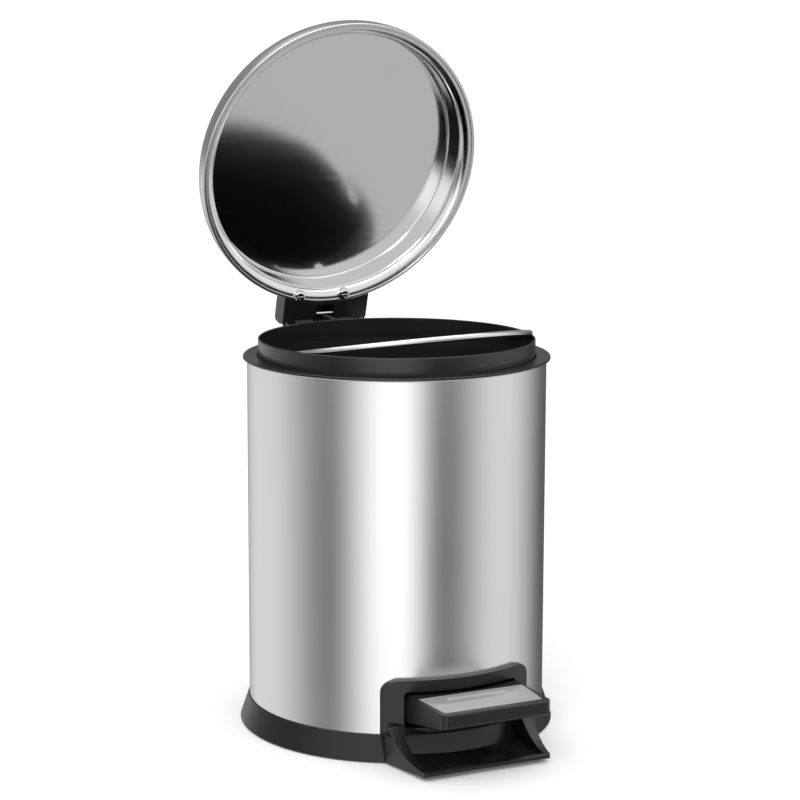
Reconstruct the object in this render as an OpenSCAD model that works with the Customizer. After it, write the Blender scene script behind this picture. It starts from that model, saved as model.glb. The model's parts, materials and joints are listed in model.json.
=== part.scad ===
// Pedal trash can, round, about 5 litres: steel body, lifting lid, foot pedal and a removable bucket.
// Millimetres, +Z up. The origin is on the floor, on the axis of the round body.
// The front, with the pedal, is -Y. It is drawn with the lid open and the pedal pressed;
// the lid is designed closed and then turned about its pin.

/* [Body] */
// Outer radius of the steel body
body_r = 102; // [100:0.5:103]
// Height of the top edge of the steel body
body_top = 253.2; // [252:0.2:256]
// Thickness of the steel sheet
sheet_t = 0.6; // [0.4:0.1:0.8]
// Radius of the base ring where it meets the floor
base_r = 108.4; // [107:0.2:110]
// Height of the base ring
base_h = 18.1; // [16:0.1:20]

/* [Lid] */
// Outer radius of the lid's rim
lid_r = 104.4; // [104:0.1:105]
// Height of the lid's straight side band
band_h = 4.4; // [4:0.2:8]
// Radius of the lid's rounded shoulder
cap_r = 26; // [20:1:28]
// Depth of the polished inner pan
pan_depth = 24; // [22:0.2:24]
// Angle by which the lid stands open in the drawn pose
lid_open = 74; // [60:1:80]

/* [Hinge] */
// Distance of the hinge pin behind the body's axis
hinge_y = 123.9; // [122:0.1:126]
// Width of the hinge block on the lid
block_w = 66; // [60:1:70]
// Radius of the hinge pins
pin_r = 2; // [1.5:0.1:2.5]

/* [Pedal] */
// Width of the tread
tread_w = 79; // [74:1:80]
// Distance of the tread's front edge from the body's axis
tread_y = 151; // [145:1:155]
// Height of the tread's top
tread_z = 46.9; // [46:0.1:47.1]
// Distance of the pedal's pivot in front of the body's axis
pivot_y = 58; // [56:1:62]

/* [Bucket] */
// Outer radius of the bucket's upper band
bucket_r = 94.4; // [93:0.1:94.4]
// Height of the bucket's rim
bucket_top = 266.4; // [264:0.2:267]
// Angle by which the loose bucket is turned in the body
bucket_turn = 5.5; // [0:0.5:10]
// Angle by which the wire handle is raised from level
bail_raise = 11.3; // [0:0.1:11.3]

/* [Hidden] */
$fn = 96;

gap = 0.05;            // ordinary clearance between fixed pieces
run = 0.06;            // radial running clearance of pins and rods
fit = 0.02;            // radial room of pins held fast
eps = 0.5;             // overrun of cutting shapes

shell_in = body_r - sheet_t;
bead_r = 0.55;                     // rolled bead round the body's top
flange_r = body_r + 2.7;
flange_t = 1.6;
flange_top = body_top + flange_t;
ring_bore = 95;

rim_z = flange_top + 1.4;          // lid's open rim when closed
hinge_z = rim_z + 0.7;
crown = 1.6;                       // rise of the lid's top
hem_in = lid_r - 2.5;              // inner edge of the rolled rim
pan_edge_r = 7.5;                  // big rounded edge of the pan, clear of the bucket's rim
pan_edge = [102.2, 8.5];
pan_floor_r = 94.5;                // foot of the pan's wall
pan_fillet = 1.3;
pan_t = 0.5;

block_y = 119;                     // rear face of the hinge block between its wings
wing_y = 121.1;                    // rear face of the wings
wing_in = 28.7;                    // inner face of the wings
block_h = 14.5;
knuckle_r = 5;
bar_y = 113.3;                     // lift bar in the closed lid
bar_z = rim_z + 2;
bar_r = 1.4;
window_w = 13.5;
cheek_in = 23.5;                   // inner and outer faces of the bracket's cheeks
cheek_out = 28.4;
knuckle_in = 9;

crank = [bar_y - hinge_y, bar_z - hinge_z];
bar_open_z = hinge_z - crank[0] * sin(lid_open) + crank[1] * cos(lid_open);
rod_r = 2;
rod_y = 97.2;
head_top = bar_open_z - bar_r - 0.1;
head_t = 4;
head_h = 8.5;
head_boss_r = 2.6;
notch_w = 6.4;                     // slot in the body's rear edge for the head

pivot_z = 18;
axle_r = 2.5;
rib_x = 14.4;                      // inner face of the chassis's axle ribs
strip_t = 2.4;
strip_w = 26;
strip_z = 22.5;                    // middle of the lever's strip behind the pivot
lever_z = 40.2;                    // middle of the strip under the tread
deck_z = 31.5;                     // top of the chassis, on which the bucket stands
cover_z = 3.4;                     // top of the bottom cover
foot_h = 1.4;

bezel_r = body_r + 4;
bezel_w = 107;
bezel_top = 55.5;
slot_w = 82;
slot_z0 = 23.5;
slot_z1 = 47.7;
tray_y = 138.7;                    // front edge of the foot guard

wire_r = 1.9;
bail_z = 260;
bail_r = 91;
bucket_t = 1.2;

screw_r = 1.2;

// Points along an arc about [cx, cy], from angle a0 to a1
function arc(cx, cy, r, a0, a1, n = 10) =
    [for (i = [0:n]) let (a = a0 + (a1 - a0) * i / n) [cx + r * cos(a), cy + r * sin(a)]];

module ring(r_in, r_out, z0, z1) {
    translate([0, 0, z0]) difference() {
        cylinder(r = r_out, h = z1 - z0);
        translate([0, 0, -1]) cylinder(r = r_in, h = z1 - z0 + 2);
    }
}

// A rod along X, centred on x = 0
module x_rod(r, len) {
    rotate([0, 90, 0]) cylinder(r = r, h = len, center = true);
}

// A rod along X between x0 and x1
module x_span(r, x0, x1) {
    translate([x0, 0, 0]) rotate([0, 90, 0]) cylinder(r = r, h = x1 - x0);
}

// Extrudes a side profile, given as [y, z] points, to a width centred on x = 0
module side_profile(w) {
    rotate([90, 0, 90]) translate([0, 0, -w / 2]) linear_extrude(w) children();
}

module mirror_x() {
    children();
    mirror([1, 0, 0]) children();
}

module rounded_rect(w, h, r) {
    for (x = [r - w / 2, w / 2 - r], y = [r, h - r]) translate([x, y]) circle(r = r);
    translate([r - w / 2, 0]) square([w - 2 * r, h]);
    translate([-w / 2, r]) square([w, h - 2 * r]);
}

// Turns shapes designed on the closed lid into the open pose
module on_open_lid() {
    translate([0, hinge_y, hinge_z]) rotate([-lid_open, 0, 0]) translate([0, -hinge_y, -hinge_z]) children();
}

// Shapes that ride on the loose bucket
module on_bucket() {
    rotate([0, 0, bucket_turn]) children();
}

// Pan-head screw pointing along +Z, its head's seat at z = 0
module pan_screw(len, head_r = 2.8, head_h = 2) {
    difference() {
        union() {
            translate([0, 0, -head_h]) intersection() {
                cylinder(r = head_r, h = head_h);
                translate([0, 0, head_r * 1.6]) sphere(r = head_r * 1.75);
            }
            cylinder(r = screw_r, h = len);
        }
        for (a = [0, 90]) rotate([0, 0, a])
            translate([-head_r * 0.62, -0.35, -head_h - eps]) cube([head_r * 1.24, 0.7, eps + 0.9]);
    }
}

// ---------- body ----------

module body_shell() {
    color("silver") difference() {
        union() {
            ring(shell_in, body_r, 12, body_top);
            rotate_extrude() translate([body_r, body_top - bead_r - gap]) circle(r = bead_r, $fn = 16);
        }
        translate([-43, -body_r - 5, 10]) cube([86, 40, 40]);
        translate([-notch_w / 2, rod_y - 5, 246]) cube([notch_w, 15, 10]);
        at_bracket_screws() cylinder(r = screw_r + 0.3, h = 12, center = true);
        at_bezel_screws() cylinder(r = screw_r + 0.3, h = 12, center = true);
    }
}

module top_ring() {
    lug_z = 238;
    color("dimgray") difference() {
        union() {
            rotate_extrude() polygon([
                [ring_bore, body_top], [flange_r, body_top], [flange_r, flange_top - 0.5],
                [flange_r - 0.5, flange_top], [ring_bore + 0.3, flange_top], [ring_bore, flange_top - 0.3]
            ]);
            ring(shell_in - 2, shell_in - gap, lug_z, body_top);
            intersection() {
                translate([-6, 94.3, lug_z]) cube([12, 7, 9]);
                cylinder(r = shell_in - gap, h = body_top);
            }
        }
        translate([0, rod_y, lug_z - 1]) cylinder(r = rod_r + run, h = 11);
        translate([-notch_w / 2, 90, lug_z + 9]) cube([notch_w, 20, 20]);
    }
}

module base_ring() {
    lip = 98.5;
    color("dimgray") difference() {
        rotate_extrude() polygon([
            [lip, cover_z], [103.5, cover_z], [103.5, 0.6], [base_r - 0.4, 0.6], [base_r, 1],
            [body_r + 0.7, base_h - 0.3], [body_r + 0.4, base_h], [body_r + gap, base_h],
            [body_r + gap, 12], [shell_in - gap, 12], [shell_in - gap, 20], [lip, 20]
        ]);
        translate([-7, 90, 8]) cube([14, 11, 20]);
        at_cover_screws() cylinder(r = screw_r, h = 7);
    }
}

module chassis() {
    outer = 98.3;
    color("dimgray") difference() {
        union() {
            translate([0, 0, deck_z - 2]) cylinder(r = outer, h = 2);
            ring(outer - 2, outer, cover_z, deck_z - 1);
            at_chassis_posts() cylinder(r = 4.5, h = deck_z - 1 - cover_z);
            mirror_x() translate([rib_x, -pivot_y, 0]) {
                translate([0, -7, pivot_z]) cube([5, 14, deck_z - 1 - pivot_z]);
                translate([0, 0, pivot_z]) x_span(7, 0, 5);
            }
        }
        translate([-43, -outer - 2, 0]) cube([86, outer + 2 - 86, 40]);
        translate([-7, 92, 0]) cube([14, 10, 40]);
        translate([0, -pivot_y, pivot_z]) x_rod(axle_r + fit, 60);
        at_chassis_posts() translate([0, 0, -1]) cylinder(r = screw_r, h = 9);
    }
}

module bottom_cover() {
    color("dimgray") difference() {
        union() {
            translate([0, 0, foot_h]) cylinder(r = 103.3, h = cover_z - foot_h);
            cylinder(r = 22, h = 2);
        }
        at_cover_screws() translate([0, 0, -3]) cylinder(r = screw_r + 0.2, h = 8);
        at_chassis_posts() translate([0, 0, -3]) cylinder(r = screw_r + 0.2, h = 8);
        at_cover_screws() translate([0, 0, -3]) cylinder(r = 3, h = 2);
        at_chassis_posts() translate([0, 0, -3]) cylinder(r = 3, h = 2);
    }
}

module at_cover_screws() {
    for (a = [45:90:315]) rotate([0, 0, a]) translate([100.4, 0, cover_z]) children();
}

module at_chassis_posts() {
    for (a = [30:60:330]) if (a != 90 && a != 270) rotate([0, 0, a]) translate([72, 0, cover_z]) children();
}

module rubber_feet() {
    color("black") for (a = [15:90:285]) rotate([0, 0, a])
        translate([88, 0, 0]) cylinder(r = 6.5, h = foot_h);
}

module cover_screws() {
    color("gray") {
        at_cover_screws() translate([0, 0, -1]) pan_screw(7, 2.8, 0.9);
        at_chassis_posts() translate([0, 0, -1]) pan_screw(8, 2.8, 0.9);
    }
}

// ---------- pedal opening ----------

module tray_plan() {
    tip = 46.2;
    polygon(concat(
        [[bezel_w / 2, -88], [-bezel_w / 2, -88], [-bezel_w / 2, -95]],
        arc(-tip + 2, -tray_y + 2, 2, 170, 270, 5),
        arc(tip - 2, -tray_y + 2, 2, 270, 370, 5),
        [[bezel_w / 2, -95]]
    ));
}

module pedal_bezel() {
    lip_z = 6.2;
    color("dimgray") difference() {
        union() {
            intersection() {
                ring(body_r + gap, bezel_r, base_h + gap, bezel_top);
                rotate([90, 0, 0]) linear_extrude(120) translate([0, -20])
                    rounded_rect(bezel_w, bezel_top + 20, 9);
            }
            intersection() {
                linear_extrude(40) tray_plan();
                side_profile(bezel_w) polygon(concat(
                    [[-80, 1.2], [-80, 19.8], [-102, 19.8]],
                    arc(-139, 59, 53, -38, -89, 8),
                    [[-tray_y, lip_z - 0.6], [-tray_y, 3.4], [-tray_y + 0.8, 2.8], [-100, 1.2]]
                ));
            }
        }
        translate([0, 0, slot_z0]) rotate([90, 0, 0]) linear_extrude(130)
            rounded_rect(slot_w, slot_z1 - slot_z0, 2);
        intersection() {
            translate([0, -70, 0]) linear_extrude(60) polygon([
                [-44, -25], [-43.6, -40], [-42.2, -tray_y + 73], [42.2, -tray_y + 73], [43.6, -40], [44, -25]
            ]);
            side_profile(90) polygon([
                [-tray_y + 2.4, lip_z - 1.2], [-tray_y + 2.4, 30], [-104.5, 30], [-104.5, slot_z0 - 3.5],
                [-95, slot_z0 - 3.5], [-95, 7], [-120, 4.2]
            ]);
        }
        base_clearance();
        cylinder(r = body_r + gap, h = 60);
        at_bezel_screws() cylinder(r = screw_r, h = 7.4, center = true);
    }
}

// The space that the base ring takes, with a little room around it
module base_clearance() {
    rotate_extrude() polygon([
        [0, -1], [base_r + 0.7, -1], [base_r + 0.3, 1], [body_r + 0.8, base_h + gap], [0, base_h + gap]
    ]);
}

// Screws through the body into the bezel, pointing outwards
module at_bezel_screws() {
    mirror_x() translate([47.3, -88.2, 38]) rotate([90, 0, 0]) children();
}

module bezel_screws() {
    color("gray") at_bezel_screws() pan_screw(3.7, 2.6, 1.8);
}

// ---------- hinge on the body ----------

module bracket_side() {
    polygon(concat(
        [[90, 198], [108, 198], [132.6, 226], [132.6, hinge_z + 5.5], [131.6, hinge_z + 6.5],
         [130.4, hinge_z + 6.5], [130.4, hinge_z - 2]],
        arc(hinge_y, hinge_z, 4.5, 0, 180, 12),
        [[hinge_y - 4.5, rim_z - 0.6], [90, rim_z - 0.6]]
    ));
}

module hinge_bracket() {
    color("dimgray") difference() {
        union() {
            mirror_x() translate([(cheek_in + cheek_out) / 2, 0, 0])
                side_profile(cheek_out - cheek_in) bracket_side();
            side_profile(2 * cheek_out) polygon([
                [90, 198], [108, 198], [132.6, 226], [132.6, hinge_z + 5.5], [131.6, hinge_z + 6.5],
                [130.4, hinge_z + 6.5], [130.4, 227], [107, 200.4], [105.5, 200.4],
                [105.5, body_top - gap], [90, body_top - gap]
            ]);
        }
        cylinder(r = body_r + gap, h = 300);
        translate([0, 0, body_top - 2]) cylinder(r = body_r + 0.7, h = 30);
        translate([0, 0, body_top - gap]) cylinder(r = flange_r + 0.2, h = 30);
        translate([-notch_w / 2, 90, 246]) cube([notch_w, 20, 30]);
        translate([0, hinge_y, hinge_z]) x_rod(pin_r + fit, block_w + 2);
        at_bracket_screws() cylinder(r = screw_r, h = 13);
    }
}

// Screws through the body's back into the bracket, pointing outwards
module at_bracket_screws() {
    mirror_x() for (z = [207, 229]) translate([26, 96.8, z]) rotate([-90, 0, 0]) children();
}

module bracket_screws() {
    color("gray") at_bracket_screws() pan_screw(12, 2.8, 1.8);
}

module hinge_pins() {
    color("silver") mirror_x() translate([0, hinge_y, hinge_z])
        x_span(pin_r, knuckle_in + 0.2, cheek_out - 0.2);
}

// ---------- pedal ----------

module at_pivot() {
    translate([0, -pivot_y, pivot_z]) children();
}

module pedal_axle() {
    color("silver") at_pivot() difference() {
        x_rod(axle_r, 2 * rib_x + 16);
        mirror_x() translate([rib_x + 5.3, 0, 0]) difference() {
            x_span(axle_r + 1, 0, 0.9);
            translate([-1, 0, 0]) x_span(axle_r - 0.5, 0, 3);
        }
    }
}

module axle_clips() {
    color("gray") at_pivot() mirror_x() difference() {
        x_span(4.6, rib_x + 5.35, rib_x + 6.15);
        x_span(axle_r - 0.5, rib_x + 5, rib_x + 7);
        translate([rib_x + 5, -1.5, -6]) cube([2, 3, 6]);
    }
}

module pedal_lever() {
    half = strip_t / 2;
    ear_in = 10.6;
    ear_out = strip_w / 2;
    color("silver") difference() {
        union() {
            intersection() {
                side_profile(strip_w) polygon([
                    [-140, lever_z - half], [-101.8, lever_z - half], [-91.2, strip_z - half],
                    [100.4, strip_z - half], [100.4, strip_z + half], [-89.8, strip_z + half],
                    [-100.4, lever_z + half], [-140, lever_z + half]
                ]);
                linear_extrude(60) polygon([
                    [-13, -141], [13, -141], [13, 84], [5, 92], [5, 101], [-5, 101], [-5, 92], [-13, 84]
                ]);
            }
            mirror_x() at_pivot() {
                x_span(5.5, ear_in, ear_out);
                translate([ear_in, -5.5, 0]) cube([ear_out - ear_in, 11, strip_z - pivot_z]);
            }
        }
        at_pivot() mirror_x() x_span(axle_r + 1, ear_in - 1, ear_out + 1);
        at_tread_screws() cylinder(r = screw_r + 0.1, h = 20, center = true);
    }
}

module pivot_bushes() {
    color("white") at_pivot() mirror_x() difference() {
        union() {
            x_span(axle_r + 1, 10.6, strip_w / 2);
            x_span(axle_r + 2.3, strip_w / 2, strip_w / 2 + 1);
        }
        x_span(axle_r + run, 10, strip_w / 2 + 2);
    }
}

module at_tread_screws() {
    for (x = [-8, 8]) translate([x, -124, lever_z - strip_t / 2]) children();
}

module tread_screws() {
    color("gray") at_tread_screws() pan_screw(5.5, 2.8, 1.8);
}

module tread_plan(inset = 0) {
    w = tread_w / 2 - inset;
    y = tread_y - inset;
    polygon(concat(
        [[w, -80], [-w, -80], [-w, -110]],
        arc(-w + 4.2, -y + 4, 4, 183, 268, 6),
        [[0, -y]],
        arc(w - 4.2, -y + 4, 4, 272, 357, 6),
        [[w, -110]]
    ));
}

module pedal_tread() {
    neck_z = 43.9;
    color("dimgray") difference() {
        intersection() {
            linear_extrude(60) tread_plan();
            side_profile(tread_w) polygon(concat(
                [[-92, neck_z], [-92, 27.5], [-104, 28.6], [-140, 35.6]],
                arc(-tread_y + 2.2, 39.2, 2.2, 270, 180, 4),
                arc(-tread_y + 1.4, tread_z - 1.4, 1.4, 180, 90, 5),
                [[-96, tread_z], [-94, neck_z]]
            ));
        }
        translate([0, 0, neck_z]) cylinder(r = bezel_r + 2.8, h = 20);
        intersection() {
            translate([0, 0, -1]) linear_extrude(70) tread_plan(2.4);
            side_profile(tread_w) polygon([
                [-93.8, 41.4], [-93.8, 20], [-160, 20], [-160, 41.4]
            ]);
        }
        translate([-14, -96, 20]) cube([28, 6, 25]);
        pad_space();
        at_tread_screws() cylinder(r = screw_r, h = 6);
    }
}

// The recess for the grip pad, in the top of the tread
module pad_space() {
    translate([0, 0, tread_z - 1.3]) linear_extrude(5) pad_plan();
}

module pad_plan() {
    polygon(concat(
        arc(-36.2, -113.4, 1.6, 90, 183, 4),
        arc(-33.9, -143.8, 1.9, 183, 268, 4),
        arc(33.9, -143.8, 1.9, 272, 357, 4),
        arc(36.2, -113.4, 1.6, -3, 90, 4)
    ));
}

module pedal_pad() {
    top = tread_z + 0.25;
    rib_r = 1.3;
    color("gray") {
        intersection() {
            translate([0, 0, tread_z - 1.3]) linear_extrude(3) pad_plan();
            side_profile(tread_w) polygon([
                [-150, 40], [-150, top - 0.75], [-145.2, top - 0.6], [-129.5, top], [-112.8, top],
                [-111, top - 0.6],
                [-108, 40]
            ]);
        }
        translate([0, -121.5, top - 0.25]) {
            x_rod(rib_r, 42);
            for (x = [-21, 21]) translate([x, 0, 0]) sphere(r = rib_r);
        }
    }
}

// ---------- lift rod ----------

module lift_rod() {
    color("silver") translate([0, rod_y, strip_z + 5]) cylinder(r = rod_r, h = head_top - 5 - strip_z - 5);
}

module rod_foot() {
    z0 = strip_z + strip_t / 2 + 0.15;
    r = 3.2;
    color("white") difference() {
        translate([0, rod_y, z0 + r]) {
            sphere(r = r);
            cylinder(r = r, h = 5);
        }
        translate([0, rod_y, strip_z + 5]) cylinder(r = rod_r, h = 20);
    }
}

module lifter_head() {
    low = head_top - 1.1;
    color("dimgray") difference() {
        union() {
            side_profile(head_t) polygon([
                [rod_y, head_top - head_h], [rod_y + 6, head_top - head_h], [124, head_top - 4.5],
                [124, head_top], [107.2, head_top], [106.6, low], [rod_y, low]
            ]);
            translate([0, rod_y, head_top - head_h]) cylinder(r = head_boss_r, h = head_h - 1.1);
        }
        translate([0, rod_y, head_top - head_h - eps]) cylinder(r = rod_r, h = head_h - 5 + eps);
    }
}

// ---------- lid ----------

// Height of the crowned top at radius r, above the rim
function crown_z(r) = band_h + cap_r + crown * (1 - pow(r / (lid_r - cap_r), 2));

// Outline of the lid's skin from the rim to the middle, grown outwards by g
function cap_outline(g) = concat(
    arc(lid_r - cap_r, band_h, cap_r + g, 0, 86, 14),
    [for (i = [1:8]) let (r = (lid_r - cap_r) * (1 - i / 8)) [r, crown_z(r) + g]]
);

module lid_cap() {
    color("silver") on_open_lid() translate([0, 0, rim_z]) difference() {
        rotate_extrude() polygon(concat(
            [[hem_in, 1.6], [hem_in, 0.7]],
            arc(hem_in + 0.7, 0.7, 0.7, 180, 270, 3),
            arc(lid_r - 0.9, 0.9, 0.9, 270, 360, 4),
            cap_outline(0),
            [for (p = [14 + 8:-1:0]) cap_outline(-sheet_t)[p]],
            [[lid_r - sheet_t, 1.6]]
        ));
        translate([-26.2, 80, 5.4]) cube([52.4, 40, 4.1]);
    }
}

// Points along the pan's rounded edge, from its lip to its wall, at radius r
function pan_edge_arc(r) = arc(pan_edge[0], pan_edge[1], r, 253, 180, 10);

module lid_pan() {
    t = pan_t;
    seam = lid_r - sheet_t - 0.1;
    lip = hem_in - 0.25;
    color("silver") on_open_lid() translate([0, 0, rim_z]) difference() {
        union() {
            rotate_extrude() polygon(concat(
                [[seam, 1.6], [lip, 1.6], [lip, 0.83]],
                pan_edge_arc(pan_edge_r),
                [[pan_edge[0] - pan_edge_r, 10.9]],
                arc(pan_floor_r - pan_fillet, pan_depth - pan_fillet, pan_fillet, 0, 90, 5),
                [[0, pan_depth], [0, pan_depth + t]],
                arc(pan_floor_r - pan_fillet, pan_depth - pan_fillet, pan_fillet + t, 90, 0, 5),
                [[pan_edge[0] - pan_edge_r + t, 10.9]],
                arc(pan_edge[0], pan_edge[1], pan_edge_r - t, 180, 253, 10),
                [[seam, 1.6 + t]]
            ));
            intersection() {
                at_lid_screws() cylinder(r = 4.2, h = 3);
                rotate_extrude() polygon(concat(
                    [[pan_edge[0] - pan_edge_r, 0], [lip, 0], [lip, 0.9]],
                    pan_edge_arc(pan_edge_r - t / 2)
                ));
            }
        }
        at_lid_screws() translate([0, 0, -4]) cylinder(r = screw_r + 0.2, h = 12);
    }
}

// Screws through the pan's edge into the hinge block's tongue, seats just below the lid's rim
module at_lid_screws() {
    for (x = [-21.5, 13.5]) translate([x, 98.2, -0.05]) children();
}

module lid_screws() {
    color("silver") on_open_lid() translate([0, 0, rim_z]) at_lid_screws() pan_screw(8.8, 3.9, 1.1);
}

// Side profile of the hinge block, up to its rear face at y, with the lower rear corner rounded by r
module block_side(y, r) {
    top = rim_z + block_h;
    polygon(concat(
        [[96, top], [96, rim_z]],
        arc(y - r, rim_z + r, r, 270, 360, 8),
        [[y, top - 2], [y - 2, top]]
    ));
}

module hinge_block() {
    color("dimgray") on_open_lid() difference() {
        union() {
            side_profile(2 * wing_in) block_side(block_y, 0.4);
            mirror_x() {
                translate([(wing_in + block_w / 2) / 2, 0, 0])
                    side_profile(block_w / 2 - wing_in) block_side(wing_y, 6);
                translate([(knuckle_in + cheek_in - 0.7) / 2, 0, 0])
                    side_profile(cheek_in - 0.7 - knuckle_in) polygon(concat(
                        [[block_y - 2, rim_z + 9], [block_y - 2, rim_z]],
                        arc(hinge_y, hinge_z, knuckle_r, 210, 420, 14)
                    ));
            }
        }
        difference() {
            translate([0, 0, rim_z]) rotate_extrude() polygon(concat(
                [[0, -1], [lid_r + gap, -1]],
                cap_outline(gap)
            ));
            intersection() {
                translate([-26, 90, rim_z + 5.6]) cube([52, 30, 3.7]);
                ring(96.1, lid_r + 1, rim_z, rim_z + 30);
            }
        }
        translate([-window_w / 2, 106.2, rim_z - 1]) cube([window_w, 11.4, 11]);
        translate([-2.7, 112, rim_z - 1]) cube([5.4, 20, 6.3]);
        translate([0, bar_y, bar_z]) x_rod(bar_r, window_w + 5);
        translate([0, hinge_y, hinge_z]) x_rod(pin_r + run, 2 * cheek_in);
        translate([0, 0, rim_z]) at_lid_screws() cylinder(r = screw_r, h = 9);
    }
}

module lift_bar() {
    color("silver") on_open_lid() translate([0, bar_y, bar_z]) x_rod(bar_r, window_w + 5);
}

// ---------- bucket ----------

module inner_bucket() {
    lug_in = bucket_r - 1.45;
    color("dimgray") on_bucket() difference() {
        union() {
            rotate_extrude() polygon(bucket_wall(bucket_t));
            intersection() {
                ring(lug_in, bucket_r - 0.2, bail_z - 6, bucket_top - 0.4);
                side_profile(200) translate([0, bail_z - 6]) rounded_rect(14, 12, 1.2);
            }
        }
        translate([0, 0, bail_z]) x_rod(wire_r + 0.08, 2 * (bucket_r - 0.55));
    }
}

// Outline of the bucket's wall, t thick, from the middle of its floor to the rim and back
function bucket_wall(t) = let (z0 = deck_z + 0.2, foot_r = 84) concat(
    [[0, z0]],
    arc(foot_r - 4, z0 + 4, 4, 270, 355, 5),
    [[bucket_r - 0.3, 248], [bucket_r, 252], [bucket_r, bucket_top - 0.4], [bucket_r - 0.4, bucket_top],
     [bucket_r - t + 0.4, bucket_top], [bucket_r - t, bucket_top - 0.4], [bucket_r - t, 252],
     [bucket_r - 0.3 - t, 248]],
    arc(foot_r - 4, z0 + 4, 4 - t, 355, 270, 5),
    [[0, z0 + t]]
);

module bail_handle() {
    color("silver") on_bucket() translate([0, 0, bail_z]) {
        rotate([180 - bail_raise, 0, 0]) rotate([0, 0, -1.5])
            rotate_extrude(angle = 183) translate([bail_r, 0]) circle(r = wire_r);
        mirror_x() x_span(wire_r - 0.1, bail_r, bucket_r - 0.7);
    }
}

body_shell();
top_ring();
base_ring();
chassis();
bottom_cover();
rubber_feet();
cover_screws();
pedal_bezel();
bezel_screws();
hinge_bracket();
bracket_screws();
hinge_pins();
pedal_axle();
axle_clips();
pedal_lever();
pivot_bushes();
pedal_tread();
pedal_pad();
tread_screws();
lift_rod();
rod_foot();
lifter_head();
lid_cap();
lid_pan();
hinge_block();
lift_bar();
lid_screws();
inner_bucket();
bail_handle();
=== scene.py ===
"""A round pedal trash can with its lid open: materials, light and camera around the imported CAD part."""
import json
import math

import bpy
from mathutils import Matrix, Vector

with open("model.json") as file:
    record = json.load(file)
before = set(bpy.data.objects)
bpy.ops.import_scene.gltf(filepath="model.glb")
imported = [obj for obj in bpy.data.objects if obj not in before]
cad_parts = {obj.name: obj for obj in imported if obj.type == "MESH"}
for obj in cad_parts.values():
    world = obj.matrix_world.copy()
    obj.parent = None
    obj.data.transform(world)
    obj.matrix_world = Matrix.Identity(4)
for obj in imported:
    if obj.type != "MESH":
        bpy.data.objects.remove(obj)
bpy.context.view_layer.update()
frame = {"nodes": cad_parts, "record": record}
NODES = frame["nodes"]

# ---------- camera ----------
# Set so that the body's edges fall where they do in the photo.
CAM_AZIMUTH = math.radians(-25.76)
CAM_DISTANCE = 1.5392            # horizontal, from the axis of the body
CAM_HEIGHT = 0.4956
CAM_AIM = Vector((0.0021, -0.0010, 0.2227))
CAM_ROLL = math.radians(0.163)
CAM_LENS = 102.84                # mm, on a sensor SENSOR_WIDTH mm wide
SENSOR_WIDTH = 36
CAM_REACH = 60


def add_camera():
    data = bpy.data.cameras.new("camera")
    data.lens = CAM_LENS
    data.sensor_width = SENSOR_WIDTH
    data.clip_end = CAM_REACH
    camera = bpy.data.objects.new("camera", data)
    bpy.context.scene.collection.objects.link(camera)
    outward = Vector((math.sin(CAM_AZIMUTH), -math.cos(CAM_AZIMUTH), 0))
    place = CAM_DISTANCE * outward + Vector((0, 0, CAM_HEIGHT))
    look = (CAM_AIM - place).to_track_quat("-Z", "Y").to_matrix().to_4x4()
    camera.matrix_world = Matrix.Translation(place) @ look @ Matrix.Rotation(CAM_ROLL, 4, "Z")
    bpy.context.scene.camera = camera


# ---------- node helpers ----------

class Tree:
    """A short way to write a node tree. A socket is named, or given by its number as in i0."""

    def __init__(self, owner):
        owner.use_nodes = True
        self.nodes = owner.node_tree.nodes
        self.links = owner.node_tree.links
        self.nodes.clear()

    def add(self, kind, **sockets):
        node = self.nodes.new(kind)
        for name, value in sockets.items():
            self.put(node, name, value)
        return node

    def put(self, node, name, value):
        numbered = name[0] == "i" and name[1:].isdigit()
        socket = node.inputs[int(name[1:])] if numbered else node.inputs[name]
        if isinstance(value, bpy.types.NodeSocket):
            self.links.new(value, socket)
        else:
            socket.default_value = value

    def math(self, operation, a, b=0.0, c=0.0):
        node = self.add("ShaderNodeMath", i0=a, i1=b, i2=c)
        node.operation = operation
        return node.outputs[0]

    def object_coords(self, stretch=(1, 1, 1)):
        coords = self.add("ShaderNodeTexCoord")
        mapping = self.add("ShaderNodeMapping", Vector=coords.outputs["Object"], Scale=stretch)
        return mapping.outputs[0]

    def noise(self, vector, scale, detail=3.0, roughness=0.55):
        node = self.add("ShaderNodeTexNoise", Vector=vector, Scale=scale, Detail=detail, Roughness=roughness)
        return node.outputs["Fac"]

    def span(self, value, low, high, from_low=0.3, from_high=0.7, shape="LINEAR"):
        """Low to high as the value goes over its own range, which for a noise is mostly 0.3 to 0.7."""
        node = self.add("ShaderNodeMapRange", i0=value, i1=from_low, i2=from_high, i3=low, i4=high)
        node.interpolation_type = shape
        return node.outputs[0]

    def tint(self, factor, dark, light):
        node = self.nodes.new("ShaderNodeMix")
        node.data_type = "RGBA"
        self.put(node, "i0", factor)
        self.put(node, "i6", (*dark, 1))
        self.put(node, "i7", (*light, 1))
        return node.outputs[2]

    def bump(self, height, strength, distance, **sockets):
        node = self.add("ShaderNodeBump", Height=height, Strength=strength, Distance=distance, **sockets)
        return node.outputs[0]


def material(name, **constants):
    mat = bpy.data.materials.new(name)
    tree = Tree(mat)
    shader = tree.add("ShaderNodeBsdfPrincipled")
    tree.add("ShaderNodeOutputMaterial", Surface=shader.outputs[0])
    for socket, value in constants.items():
        tree.put(shader, socket.replace("_", " "), value)
    return mat, tree, shader


def vary_color(tree, shader, noise, color, darkest, lightest):
    """Base colour that a noise moves between two shares of itself."""
    dark = tuple(channel * darkest for channel in color)
    light = tuple(channel * lightest for channel in color)
    tree.put(shader, "Base Color", tree.tint(tree.span(noise, 0, 1), dark, light))


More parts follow.
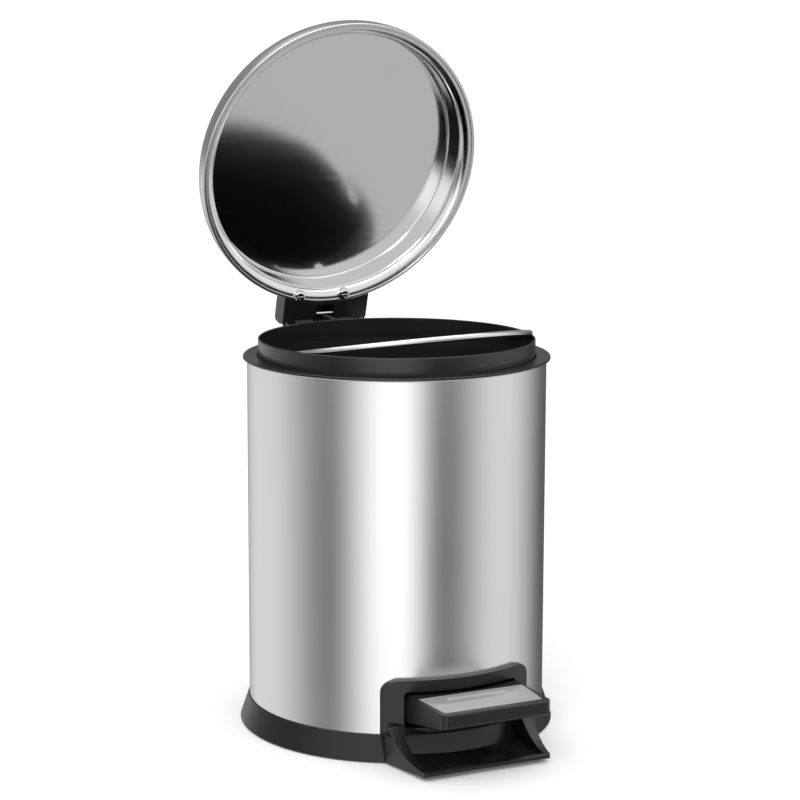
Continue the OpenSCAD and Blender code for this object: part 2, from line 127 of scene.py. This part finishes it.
def vary_roughness(tree, shader, noise, rough, share):
    """Roughness that a noise moves by a share either way."""
    tree.put(shader, "Roughness", tree.span(noise, rough * (1 - share), rough * (1 + share)))


# ---------- materials ----------

RELIEF = 0.03                    # strength of the bump on bare metal
LINE_DEPTH = 0.00002
WAVE_DEPTH = 0.0004
GRAIN_DEPTH = 0.00006


def steel_round(name, grey, rough, line_scale):
    """Sheet steel with very fine lines that run round the vertical axis."""
    mat, tree, shader = material(name, Metallic=1.0, Anisotropic=0.3)
    lines = tree.noise(tree.object_coords((1, 1, line_scale)), scale=9.0, roughness=0.6)
    cloud = tree.noise(tree.object_coords(), scale=9.0, detail=2.0)
    tone = tree.math("ADD", tree.math("MULTIPLY", lines, 0.6), tree.math("MULTIPLY", cloud, 0.4))
    vary_color(tree, shader, tone, (grey,) * 3, darkest=0.985, lightest=1.01)
    vary_roughness(tree, shader, tone, rough, share=0.05)
    tree.put(shader, "Normal", tree.bump(lines, RELIEF, LINE_DEPTH))
    tangent = tree.nodes.new("ShaderNodeTangent")
    tangent.direction_type = "RADIAL"
    tangent.axis = "Z"
    tree.put(shader, "Tangent", tangent.outputs[0])
    return mat


def polished(name, grey, rough):
    """Polished steel with faint waviness and wipe marks."""
    mat, tree, shader = material(name, Metallic=1.0)
    wave = tree.noise(tree.object_coords(), scale=14.0, detail=2.0)
    wipe = tree.noise(tree.object_coords((3, 3, 40)), scale=8.0, detail=4.0, roughness=0.6)
    vary_color(tree, shader, wave, (grey,) * 3, darkest=0.98, lightest=1.01)
    vary_roughness(tree, shader, wipe, rough, share=0.15)
    tree.put(shader, "Normal", tree.bump(wave, RELIEF, WAVE_DEPTH))
    return mat


def moulded(name, color, rough, grain=0.2, specular=0.5, edge=0.0004):
    """Moulded plastic with a fine spark-eroded grain, and edges that shading softens over a radius."""
    mat, tree, shader = material(name, Specular_IOR_Level=specular)
    fine = tree.noise(tree.object_coords(), scale=2600.0, detail=2.0, roughness=0.6)
    cloud = tree.noise(tree.object_coords(), scale=22.0)
    vary_color(tree, shader, cloud, color, darkest=0.92, lightest=1.06)
    vary_roughness(tree, shader, cloud, rough, share=0.07)
    soft = tree.add("ShaderNodeBevel", Radius=edge)
    soft.samples = 4
    tree.put(shader, "Normal", tree.bump(fine, grain, GRAIN_DEPTH, Normal=soft.outputs[0]))
    return mat


def make_materials():
    """One material for each slot of the record."""
    return {
        "steel_body": steel_round("steel_body", 0.74, 0.25, line_scale=700),
        "lid_steel": steel_round("lid_steel", 0.66, 0.26, line_scale=300),
        "pan_steel": polished("pan_steel", 0.72, 0.13),
        "wire": polished("wire", 0.78, 0.14),
        "zinc": polished("zinc", 0.55, 0.3),
        "black_plastic": moulded("black_plastic", (0.010, 0.010, 0.0105), 0.28, specular=0.38),
        "bucket_plastic": moulded("bucket_plastic", (0.014, 0.014, 0.0145), 0.22, specular=0.45),
        "black_steel": moulded("black_steel", (0.012, 0.012, 0.0125), 0.4, specular=0.4),
        "grip": moulded("grip", (0.36, 0.36, 0.37), 0.09, grain=0.02, edge=0.0006),
        "nylon": moulded("nylon", (0.75, 0.75, 0.72), 0.45),
        "rubber": moulded("rubber", (0.012, 0.012, 0.012), 0.75),
    }


def dress_nodes(materials):
    """Every CAD node takes the material of its slot in the record."""
    for part in frame["record"]["subparts"]:
        node = NODES[part["node"]]
        node.data.materials.clear()
        node.data.materials.append(materials[part["material_slot"]])


# ---------- floor ----------

WHITE = (1, 1, 1, 1)
FLOOR_SIZE = 60
FLOOR_GLOW = 0.05


def add_floor():
    """A pale floor, left out of reflections so that they show the studio alone."""
    bpy.ops.mesh.primitive_plane_add(size=FLOOR_SIZE, location=(0, 0, 0))
    floor = bpy.context.object
    floor.name = "floor"
    mat, tree, shader = material("floor", Roughness=0.9, Emission_Color=WHITE, Emission_Strength=FLOOR_GLOW)
    tone = tree.noise(tree.object_coords(), scale=0.4, detail=2.0)
    tree.put(shader, "Base Color", tree.tint(tone, (0.95, 0.95, 0.95), (0.96, 0.96, 0.96)))
    floor.data.materials.append(mat)
    floor.visible_glossy = False


# ---------- studio ----------
# What the metal and the gloss reflect: three tall soft boxes around the can, before dim walls. A direction is
# in degrees around the can: 0 is the front, -Y, and 90 is -X. Each box grows to its full brightness over its
# rise, keeps it over its hold, and fades.
DIM_WALL = 0.12
SOFT_BOXES = (
    # start, rise, hold, fade, brightness above the wall
    (-8, 30, 8, 50, 1.9),        # behind the camera
    (-125, 60, 10, 45, 1.0),     # on the right
    (70, 65, 25, 50, 1.0),       # behind the can, on the left
)
# Above and below the boxes. An edge gives the z of a ray, 1 being straight up, where a layer begins and where
# it is full.
CEILING_FRONT = 1.25
CEILING_BACK = 0.34
CEILING_BLEND = 0.3              # it darkens as the y of a ray goes from minus this to this
OVERHEAD = 2.6
GROUND = 0.76
CEILING_EDGE = (-0.12, 0.02)
OVERHEAD_EDGE = (0.66, 0.84)
GROUND_EDGE = (-0.34, -0.44)
# Light for everything that isn't a reflection
PLAIN_SKY = 1.08


def walls(tree, x, y):
    """Brightness of the walls and soft boxes in the compass direction of a ray."""
    angle = tree.math("ARCTAN2", tree.math("MULTIPLY", x, -1.0), tree.math("MULTIPLY", y, -1.0))
    degrees = tree.math("MULTIPLY", angle, math.degrees(1))
    level = DIM_WALL
    for start, rise, hold, fade, brightness in SOFT_BOXES:
        turn = tree.math("WRAP", tree.math("SUBTRACT", degrees, start), 360, 0)
        grown = tree.span(turn, 0, brightness, 0, rise, "SMOOTHSTEP")
        kept = tree.span(turn, 1, 0, rise + hold, rise + hold + fade, "SMOOTHSTEP")
        level = tree.math("MULTIPLY_ADD", grown, kept, level)
    return level


def studio_level(tree):
    """Brightness of the studio in the direction of a ray."""
    ray = tree.add("ShaderNodeSeparateXYZ", Vector=tree.add("ShaderNodeTexCoord").outputs["Generated"])
    x, y, z = ray.outputs
    level = walls(tree, x, y)
    ceiling = tree.span(y, CEILING_FRONT, CEILING_BACK, -CEILING_BLEND, CEILING_BLEND)
    for edge, other in ((CEILING_EDGE, ceiling), (OVERHEAD_EDGE, OVERHEAD), (GROUND_EDGE, GROUND)):
        share = tree.span(z, 0, 1, *edge)
        level = tree.math("MULTIPLY_ADD", tree.math("SUBTRACT", other, level), share, level)
    return level


def add_world():
    """Reflections see the studio, and all other light is an even white."""
    world = bpy.data.worlds.new("studio")
    bpy.context.scene.world = world
    tree = Tree(world)
    studio = tree.add("ShaderNodeBackground", Strength=studio_level(tree))
    plain = tree.add("ShaderNodeBackground", Color=WHITE, Strength=PLAIN_SKY)
    glossy = tree.add("ShaderNodeLightPath").outputs["Is Glossy Ray"]
    mix = tree.add("ShaderNodeMixShader", i0=glossy, i1=plain.outputs[0], i2=studio.outputs[0])
    tree.add("ShaderNodeOutputWorld", Surface=mix.outputs[0])


KEY_PLACE = Vector((-1.6, -1.8, 2.2))
KEY_AIM = Vector((0, 0, 0.15))
KEY_SIDE = 1.4
KEY_POWER = 20


def add_key_light():
    data = bpy.data.lights.new("key", "AREA")
    data.shape = "SQUARE"
    data.size = KEY_SIDE
    data.energy = KEY_POWER
    light = bpy.data.objects.new("key", data)
    bpy.context.scene.collection.objects.link(light)
    light.location = KEY_PLACE
    light.rotation_euler = (KEY_AIM - KEY_PLACE).to_track_quat("-Z", "Y").to_euler()


add_camera()
dress_nodes(make_materials())
add_floor()
add_world()
add_key_light()
bpy.context.scene.view_settings.view_transform = "Standard"
